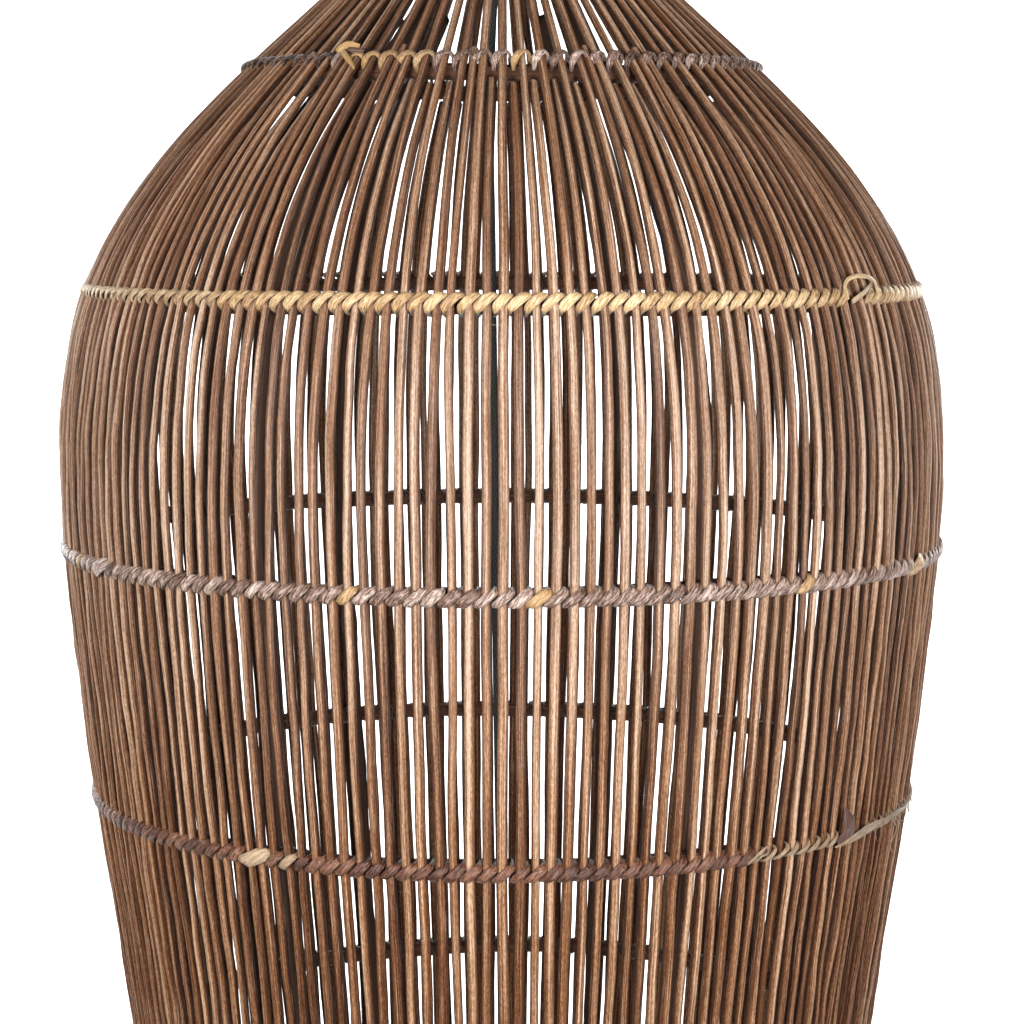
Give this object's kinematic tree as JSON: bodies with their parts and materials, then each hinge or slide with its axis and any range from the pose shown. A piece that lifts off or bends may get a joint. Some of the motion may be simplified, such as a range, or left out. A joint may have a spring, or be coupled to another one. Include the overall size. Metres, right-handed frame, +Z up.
{
  "type": "pendant lamp",
  "caption": "Tall lashed-cane cage pendant shade on a black textile cord, with ceiling rose, inner hoops and ribs, and a hanging lampholder with a screw-in lamp.",
  "frame": {"origin": "middle of the ceiling face of the ceiling rose", "axes": "+Z up out of the ceiling face, along the hanging axis; -Y towards the front"},
  "size_m": [0.6072, 0.6072, 1.25],
  "materials": {
    "cane": "matt oiled rattan",
    "hoop_rattan": "rough dark rattan",
    "rib_rattan": "rough fibrous dark rattan",
    "lashing_straw": "split peel, satin",
    "lashing_grey": "weathered split peel",
    "lashing_russet": "dark split peel",
    "cord_textile": "braided textile",
    "black_plastic": "matt",
    "black_metal": "satin",
    "steel": "zinc plated",
    "brass": "satin",
    "ceramic": "glazed white",
    "lamp_glass": "clear"
  },
  "bodies": {
    "rose": {"ceiling_bracket": "steel", "terminal_block": "ceramic", "rose_cup": "black_metal", "rose_screw_left": "brass", "rose_screw_right": "brass", "rose_cord_grip": "black_plastic", "rose_grip_nut": "steel", "rose_cord": "cord_textile"},
    "upper_bend": {"upper_cord_bend": "cord_textile"},
    "hanging_cord": {"upper_cord": "cord_textile"},
    "shade": {"neck_grip": "black_plastic", "neck_grip_nut": "steel", "neck_plate": "steel", "neck_ring": "hoop_rattan", "upper_hoop": "hoop_rattan", "shoulder_hoop": "hoop_rattan", "high_hoop": "hoop_rattan", "waist_hoop": "hoop_rattan", "low_hoop": "hoop_rattan", "foot_hoop": "hoop_rattan", "rim_hoop": "hoop_rattan", "neck_lashing": "lashing_grey", "upper_lashing": "lashing_grey", "shoulder_lashing": "lashing_grey", "high_lashing": "lashing_straw", "waist_lashing": "lashing_grey", "low_lashing": "lashing_russet", "foot_lashing": "lashing_russet", "rim_lashing": "lashing_straw", "rib_1": "rib_rattan", "rib_2": "rib_rattan", "rib_3": "rib_rattan", "rib_4": "rib_rattan", "rib_5": "rib_rattan", "rib_6": "rib_rattan", "rib_7": "rib_rattan", "rib_8": "rib_rattan", "cane_panel_01": "cane", "cane_panel_02": "cane", "cane_panel_03": "cane", "cane_panel_04": "cane", "cane_panel_05": "cane", "cane_panel_06": "cane", "cane_panel_07": "cane", "cane_panel_08": "cane", "cane_panel_09": "cane", "cane_panel_10": "cane", "cane_panel_11": "cane", "cane_panel_12": "cane"},
    "lower_bend": {"lower_cord_bend": "cord_textile"},
    "holder": {"lower_cord": "cord_textile", "holder_grip": "black_plastic", "holder_cap": "black_plastic", "holder_insert": "ceramic", "holder_contact": "brass", "holder_shell": "black_plastic"},
    "lamp_tip": {"lamp_contact": "brass"},
    "lamp": {"lamp_cap": "brass", "lamp_glass": "lamp_glass", "lamp_stem": "ceramic"}
  },
  "joints": [
    {"name": "lamp_swing_x", "type": "hinge", "parent": "rose", "child": "upper_bend", "pos_m": [0, 0, -0.055], "axis": [1, 0, 0], "range_deg": [-25, 25]},
    {"name": "lamp_swing_y", "type": "hinge", "parent": "upper_bend", "child": "hanging_cord", "pos_m": [0, 0, -0.055], "axis": [0, 1, 0], "range_deg": [-25, 25]},
    {"name": "shade_twist", "type": "hinge", "parent": "hanging_cord", "child": "shade", "pos_m": [0, 0, -0.265], "axis": [0, 0, 1], "range_deg": [-90, 90]},
    {"name": "holder_swing_x", "type": "hinge", "parent": "shade", "child": "lower_bend", "pos_m": [0, 0, -0.287], "axis": [1, 0, 0], "range_deg": [-7, 7]},
    {"name": "holder_swing_y", "type": "hinge", "parent": "lower_bend", "child": "holder", "pos_m": [0, 0, -0.287], "axis": [0, 1, 0], "range_deg": [-7, 7]},
    {"name": "lamp_travel", "type": "slide", "parent": "holder", "child": "lamp_tip", "axis": [0, 0, 1], "range_m": [-0.0254, 0]},
    {"name": "lamp_turn", "type": "hinge", "parent": "lamp_tip", "child": "lamp", "pos_m": [0, 0, -1.11], "axis": [0, 0, 1], "range_deg": [-2520, 0]}
  ],
  "couplings": [
    {"joint": "lamp_travel", "follows": "lamp_turn", "m_per_rad": 0.000576}
  ]
}
